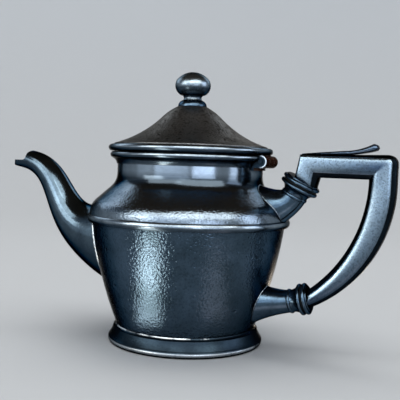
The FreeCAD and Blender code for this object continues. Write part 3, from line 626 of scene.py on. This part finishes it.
def root_path(name):
    """The closed line where a piece's outside meets the pot, as points in order."""
    skins = []
    for carrier in ("lower_body", "upper_body"):
        skin = bmesh.new()
        skin.from_mesh(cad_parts[carrier].data)
        skins.append(BVHTree.FromBMesh(skin))
        skin.free()
    work = bmesh.new()
    work.from_mesh(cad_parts[name].data)
    bmesh.ops.remove_doubles(work, verts=work.verts, dist=DOUBLED * MM)
    near = TOUCHING * MM
    touching = {vert for vert in work.verts if any(skin.find_nearest(vert.co, near)[0] for skin in skins)}
    patch = {face for face in work.faces if all(vert in touching for vert in face.verts)}
    border = {edge for edge in work.edges if len([face for face in edge.link_faces if face in patch]) == 1}
    work.edges.index_update()
    loops = []
    while border:
        edge = min(border, key=lambda item: item.index)
        border.discard(edge)
        loop = [edge.verts[0], edge.verts[1]]
        following = [item for item in loop[-1].link_edges if item in border]
        while following:
            border.discard(following[0])
            loop.append(following[0].other_vert(loop[-1]))
            following = [item for item in loop[-1].link_edges if item in border]
        loops.append([vert.co.copy() for vert in loop[:-1]])
    work.free()
    lengths = [sum((loop[index] - loop[index - 1]).length for index in range(1, len(loop))) for loop in loops]
    return loops[lengths.index(max(lengths))]


def toe_path(name, reach):
    """The root line moved out along the piece, to where the solder ends on it."""
    work = bmesh.new()
    work.from_mesh(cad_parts[name].data)
    skin = BVHTree.FromBMesh(work)
    work.free()
    toe = []
    for spot in root_path(name):
        level = Vector((spot.x, spot.y, 0)).normalized()
        toe.append(skin.find_nearest(spot + level * reach * MM)[0])
    return toe


def seam_tree():
    """A bead swept along a path, swelling and thinning as run solder does."""
    tree = bpy.data.node_groups.new("solder_bead", "GeometryNodeTree")
    ports = tree.interface
    ports.new_socket("Geometry", in_out="OUTPUT", socket_type="NodeSocketGeometry")
    ports.new_socket("Geometry", in_out="INPUT", socket_type="NodeSocketGeometry")
    for name in ("Bead Radius", "Lump", "Lump Length"):
        ports.new_socket(name, in_out="INPUT", socket_type="NodeSocketFloat")
    ports.new_socket("Finish", in_out="INPUT", socket_type="NodeSocketMaterial")
    given = add(tree, "NodeGroupInput").outputs
    path = add(tree, "GeometryNodeMeshToCurve", {"Mesh": given["Geometry"]})
    even = add(tree, "GeometryNodeResampleCurve", {"Curve": path.outputs["Curve"], "Length": SEAM_STEP * MM},
               mode="LENGTH")
    pitch = add(tree, "ShaderNodeMath", {0: 1.0, 1: given["Lump Length"]}, operation="DIVIDE")
    noise = add(tree, "ShaderNodeTexNoise", {"Scale": pitch.outputs["Value"], "Detail": 2.0})
    swing = add(tree, "ShaderNodeMath", {0: noise.outputs["Fac"], 1: 0.5}, operation="SUBTRACT")
    swell = add(tree, "ShaderNodeMath", {0: swing.outputs["Value"], 1: given["Lump"], 2: 1.0},
                operation="MULTIPLY_ADD")
    ring = add(tree, "GeometryNodeCurvePrimitiveCircle", {"Resolution": SEAM_SIDES,
                                                          "Radius": given["Bead Radius"]})
    bead = add(tree, "GeometryNodeCurveToMesh", {"Curve": even.outputs["Curve"],
                                                 "Profile Curve": ring.outputs["Curve"],
                                                 "Scale": swell.outputs["Value"]})
    whole = add(tree, "GeometryNodeRealizeInstances", {"Geometry": bead.outputs["Mesh"]})
    finish = add(tree, "GeometryNodeSetMaterial", {"Geometry": whole.outputs["Geometry"],
                                                   "Material": given["Finish"]})
    add(tree, "NodeGroupOutput", {"Geometry": finish.outputs["Geometry"]})
    return tree


def solder_seam(piece, radius, finish, paths):
    """One piece with a bead of solder along each closed path."""
    points = []
    edges = []
    for path in paths:
        first = len(points)
        points += path
        edges += [(first + index, first + (index + 1) % len(path)) for index in range(len(path))]
    line = bpy.data.meshes.new(piece)
    line.from_pydata(points, edges, [])
    carrier = bpy.data.objects.new(piece + "_line", line)
    bpy.context.scene.collection.objects.link(carrier)
    tree = seam_tree()
    modifier = carrier.modifiers.new("solder_bead", "NODES")
    modifier.node_group = tree
    settings = {"Bead Radius": radius * MM, "Lump": SEAM_LUMP, "Lump Length": SEAM_LUMP_LENGTH * MM,
                "Finish": finish}
    for item in tree.interface.items_tree:
        if item.in_out == "INPUT" and item.name in settings:
            modifier[item.identifier] = settings[item.name]
    depsgraph = bpy.context.evaluated_depsgraph_get()
    mesh = bpy.data.meshes.new_from_object(carrier.evaluated_get(depsgraph))
    bpy.data.objects.remove(carrier)
    mesh.shade_smooth()
    piece_of(piece, mesh, "pot")


solder_seam("spout_seam", SPOUT_BEAD, solder, (root_path("spout"), toe_path("spout", SPOUT_TOE)))
solder_seam("socket_seams", SOCKET_BEAD, polished, (root_path("upper_socket"), root_path("lower_socket")))


# Studio: a pale floor with a lamp of its own, soft windows, and strips of light for the pot's lower half

STAGE_RADIUS = 1.9
STAGE_SWEEP = 1.2
STAGE_TURN = 68
STAGE_STEPS = 16
STAGE_SIDES = 64
STAGE_INNER = 0.3
PAPER = "#ccd1d6"
POT_MIDDLE = Vector((0, 0, 0.07))
CEILING_SIZE = 2.4
CEILING_HEIGHT = 1.8
CEILING_RADIANCE = 2.2
CEILING_TINT = "#fffdfa"
SKY_LOW = "#a3b1c0"
SKY_HIGH = "#40362d"
SKY_RISE = (0.3, 0.65)

# Each window: its bearings right of the camera and its elevations, in degrees from the pot, then its
# distance, radiance and tint
WINDOWS = {
    "window_left": (-66, -19, 20, 40, 1.0, 3.8, "#fffaf4"),
    "window_low": (-74, -42, 6, 20, 1.0, 4.5, "#fffaf4"),
    "window_front": (-15, 50, 19, 52, 1.0, 4.4, "#fffaf4"),
    "panel_far_left": (-88, -60, -6, 13, 0.95, 0.45, "#f4f8ff"),
    "panel_left": (-56, -2, -4, 20, 0.95, 1.8, "#eef4ff"),
    "panel_right": (3, 37, -4, 11, 0.95, 4.0, "#eef2ff"),
    "window_side": (62, 92, -4, 30, 0.95, 3.0, "#eef2ff"),
    "window_back_left": (-158, -116, 18, 44, 1.1, 2.2, "#f8faff"),
    "window_back_right": (128, 168, 18, 44, 1.1, 2.0, "#f8faff"),
}
# Each strip lies on the floor facing up: its bearing, its near and far end from the pot's axis, its width,
# radiance and tint
STRIPS = {
    "strip_near": (-40, 0.050, 0.085, 0.028, 5.0, "#fff1dd"),
    "strip_left": (-40, 0.085, 0.30, 0.034, 12.5, "#fff1dd"),
    "strip_right": (30, 0.056, 0.16, 0.030, 0.8, "#ffdcd2"),
    "strip_back": (140, 0.056, 0.26, 0.030, 7.0, "#fff1dd"),
}
STRIP_LIFT = 1.0 * MM


def pale_floor():
    """A plain pale bowl: flat under the pot, swept up to a wall."""
    flat = STAGE_RADIUS - STAGE_SWEEP
    rings = [(0.0, 0.0), (STAGE_INNER, 0.0), (flat, 0.0)]
    for step in range(1, STAGE_STEPS + 1):
        angle = math.radians(STAGE_TURN * step / STAGE_STEPS)
        rings.append((flat + STAGE_SWEEP * math.sin(angle), STAGE_SWEEP * (1 - math.cos(angle))))
    points = []
    for radius, height in rings:
        for side in range(STAGE_SIDES):
            angle = 2 * math.pi * side / STAGE_SIDES
            points.append((radius * math.cos(angle), radius * math.sin(angle), height))
    faces = []
    for ring in range(len(rings) - 1):
        for side in range(STAGE_SIDES):
            after = (side + 1) % STAGE_SIDES
            faces.append((ring * STAGE_SIDES + side, ring * STAGE_SIDES + after,
                          (ring + 1) * STAGE_SIDES + after, (ring + 1) * STAGE_SIDES + side))
    mesh = bpy.data.meshes.new("pale_floor")
    mesh.from_pydata(points, [], faces)
    mesh.validate()
    mesh.shade_smooth()
    floor = bpy.data.objects.new("pale_floor", mesh)
    bpy.context.scene.collection.objects.link(floor)
    # Uncoated paper: an even pale grey without shine
    material = bpy.data.materials.new("pale_paper")
    material.use_nodes = True
    shader = material.node_tree.nodes["Principled BSDF"]
    shader.inputs["Base Color"].default_value = linear(PAPER)
    shader.inputs["Roughness"].default_value = 0.9
    shader.inputs["Specular IOR Level"].default_value = 0.1
    mesh.materials.append(material)
    return floor


def lamp_object(name, wide, tall, radiance, tint, place, facing):
    """A soft rectangle of light that the camera doesn't see."""
    lamp = bpy.data.lights.new(name, "AREA")
    lamp.shape = "RECTANGLE"
    lamp.size = wide
    lamp.size_y = tall
    lamp.energy = radiance * math.pi * wide * tall
    lamp.color = linear(tint)[:3]
    box = bpy.data.objects.new(name, lamp)
    box.matrix_world = Matrix.Translation(place) @ facing.to_4x4()
    box.visible_camera = False
    bpy.context.scene.collection.objects.link(box)
    return box


def towards(bearing, elevation):
    """The direction from the pot at a bearing right of the camera."""
    turn = math.radians(bearing)
    rise = math.radians(elevation)
    level = Vector((math.sin(turn) * math.cos(rise), -math.cos(turn) * math.cos(rise), math.sin(rise)))
    return Matrix.Rotation(VIEW_YAW, 3, "Z") @ level


def link_floor(lamp, floor, state):
    """Let a lamp light only the floor, or all but the floor."""
    lit = bpy.data.collections.new(lamp.name + "_floor")
    lit.objects.link(floor)
    lit.collection_objects[0].light_linking.link_state = state
    lamp.light_linking.receiver_collection = lit


def sky():
    """A pale horizon under a dark warm ceiling, which the metal mirrors."""
    world = bpy.data.worlds.new("studio")
    world.use_nodes = True
    tree = world.node_tree
    way = add(tree, "ShaderNodeTexCoord").outputs["Generated"]
    rise = add(tree, "ShaderNodeSeparateXYZ", {"Vector": way}).outputs["Z"]
    height = add(tree, "ShaderNodeMapRange", {"Value": rise, "From Min": SKY_RISE[0],
                                              "From Max": SKY_RISE[1]})
    tone = add(tree, "ShaderNodeMix", {"Factor": height.outputs["Result"], "A": linear(SKY_LOW),
                                       "B": linear(SKY_HIGH)}, data_type="RGBA")
    tree.links.new(tone.outputs["Result"], tree.nodes["Background"].inputs["Color"])
    bpy.context.scene.world = world


def studio():
    """The floor with its own lamp, the windows and strips that light the pot, and the sky."""
    floor = pale_floor()
    ceiling = lamp_object("ceiling", CEILING_SIZE, CEILING_SIZE, CEILING_RADIANCE, CEILING_TINT,
                          Vector((0, 0, CEILING_HEIGHT)), Matrix.Identity(3))
    link_floor(ceiling, floor, "INCLUDE")
    for name, (left, right, low, high, distance, radiance, tint) in WINDOWS.items():
        out = towards((left + right) / 2, (low + high) / 2)
        wide = 2 * distance * math.tan(math.radians(right - left) / 2)
        tall = 2 * distance * math.tan(math.radians(high - low) / 2)
        facing = (-out).to_track_quat("-Z", "Y").to_matrix()
        window = lamp_object(name, wide, tall, radiance, tint, POT_MIDDLE + out * distance, facing)
        link_floor(window, floor, "EXCLUDE")
    for name, (bearing, near, far, wide, radiance, tint) in STRIPS.items():
        out = towards(bearing, 0)
        facing = Matrix((Vector((0, 0, 1)).cross(out), -out, Vector((0, 0, -1)))).transposed()
        place = out * (near + far) / 2 + Vector((0, 0, STRIP_LIFT))
        lamp_object(name, wide, far - near, radiance, tint, place, facing)
    sky()


def photograph_camera():
    """The camera at the photograph's place, turned as its camera was."""
    lens = bpy.data.cameras.new("camera")
    lens.sensor_width = CAMERA_SENSOR
    lens.lens = CAMERA_LENS
    lens.clip_start = CAMERA_CLIP
    camera = bpy.data.objects.new("camera", lens)
    yaw = Matrix.Rotation(VIEW_YAW, 4, "Z")
    stand = Matrix.Translation((0, -CAMERA_DISTANCE, CAMERA_HEIGHT))
    pan = Matrix.Rotation(-CAMERA_PAN, 4, "Z")
    tilt = Matrix.Rotation(math.pi / 2 + CAMERA_PITCH, 4, "X")
    roll = Matrix.Rotation(CAMERA_ROLL, 4, "Z")
    camera.matrix_world = yaw @ stand @ pan @ tilt @ roll
    bpy.context.scene.collection.objects.link(camera)
    bpy.context.scene.camera = camera


studio()
photograph_camera()
bpy.context.scene.view_settings.view_transform = "Standard"
